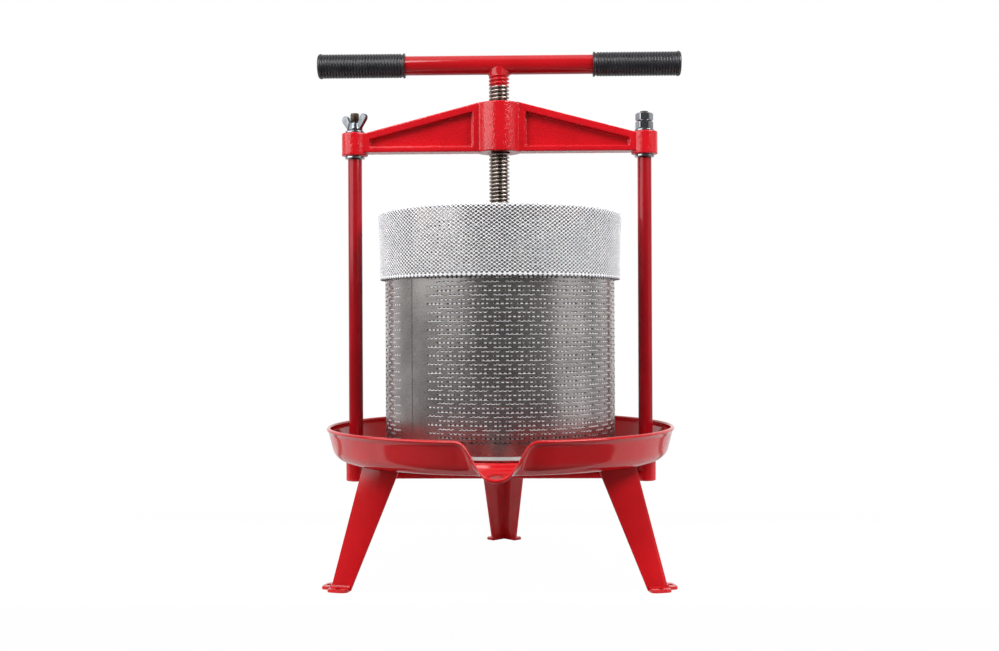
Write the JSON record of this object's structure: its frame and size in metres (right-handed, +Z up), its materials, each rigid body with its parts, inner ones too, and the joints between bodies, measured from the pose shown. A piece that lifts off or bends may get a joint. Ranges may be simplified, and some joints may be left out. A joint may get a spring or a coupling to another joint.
{
  "type": "fruit press",
  "caption": "Tabletop fruit press: a screw with a cross handle drives a plate into a perforated basket lined with a strainer bag, over a spouted tray on folded legs.",
  "frame": {"origin": "on the screw's axis at floor level", "axes": "+Z up along the screw, +X to the right along the beam towards the column with the two nuts, -Y towards the spout"},
  "size_m": [0.388, 0.4038, 0.5543],
  "materials": {
    "red_paint": "glossy enamel on sheet steel and bar",
    "cast_red_paint": "glossy enamel on a slightly rough casting",
    "zinc": "zinc plated",
    "screw_steel": "bright machined thread",
    "stainless": "rolled stainless sheet",
    "grip_rubber": "matt ribbed rubber",
    "bag_mesh": "knitted white mesh"
  },
  "bodies": {
    "frame": {"tray": "red_paint", "base_beam": "cast_red_paint", "leg_back": "red_paint", "leg_left": "red_paint", "leg_right": "red_paint", "leg_bolt_back_a": "zinc", "leg_bolt_back_b": "zinc", "leg_bolt_left_a": "zinc", "leg_bolt_left_b": "zinc", "leg_bolt_right_a": "zinc", "leg_bolt_right_b": "zinc", "leg_nut_back_a": "zinc", "leg_nut_back_b": "zinc", "leg_nut_left_a": "zinc", "leg_nut_left_b": "zinc", "leg_nut_right_a": "zinc", "leg_nut_right_b": "zinc", "left_column": "red_paint", "right_column": "red_paint", "left_lower_washer": "zinc", "right_lower_washer": "zinc", "right_upper_washer": "zinc", "top_beam": "cast_red_paint", "lower_jam_nut": "zinc", "upper_jam_nut": "zinc"},
    "press_plate": {"press_disc": "stainless", "plate_hub": "cast_red_paint", "hub_screw_1": "zinc", "hub_screw_2": "zinc", "hub_screw_3": "zinc", "hub_screw_4": "zinc"},
    "screw": {"screw": "screw_steel", "handle_tube": "red_paint", "left_grip": "grip_rubber", "right_grip": "grip_rubber", "retainer_washer": "zinc", "retainer_bolt": "zinc"},
    "wing_washer": {"left_upper_washer": "zinc"},
    "wing_nut": {"wing_nut": "zinc"},
    "basket": {"basket": "stainless", "strainer_bag": "bag_mesh"}
  },
  "joints": [
    {"name": "plate_slide", "type": "slide", "parent": "frame", "child": "press_plate", "axis": [0, 0, 1], "range_m": [-0.0241, 0.2121]},
    {"name": "screw_turn", "type": "hinge", "parent": "press_plate", "child": "screw", "pos_m": [0, 0, 0.3], "axis": [0, 0, 1], "range_deg": [-2160, 19080]},
    {"name": "washer_slide", "type": "slide", "parent": "frame", "child": "wing_washer", "axis": [0, 0, 1], "range_m": [0, 0.01201]},
    {"name": "wing_nut_turn", "type": "hinge", "parent": "wing_washer", "child": "wing_nut", "pos_m": [-0.155, 0, 0.475], "axis": [0, 0, 1], "range_deg": [0, 2880]},
    {"name": "basket_lift", "type": "slide", "parent": "frame", "child": "basket", "axis": [0, 0, 1], "range_m": [0, 0.03]}
  ],
  "couplings": [
    {"joint": "plate_slide", "follows": "screw_turn", "m_per_rad": 0.00063662},
    {"joint": "washer_slide", "follows": "wing_nut_turn", "m_per_rad": 0.00023873}
  ]
}
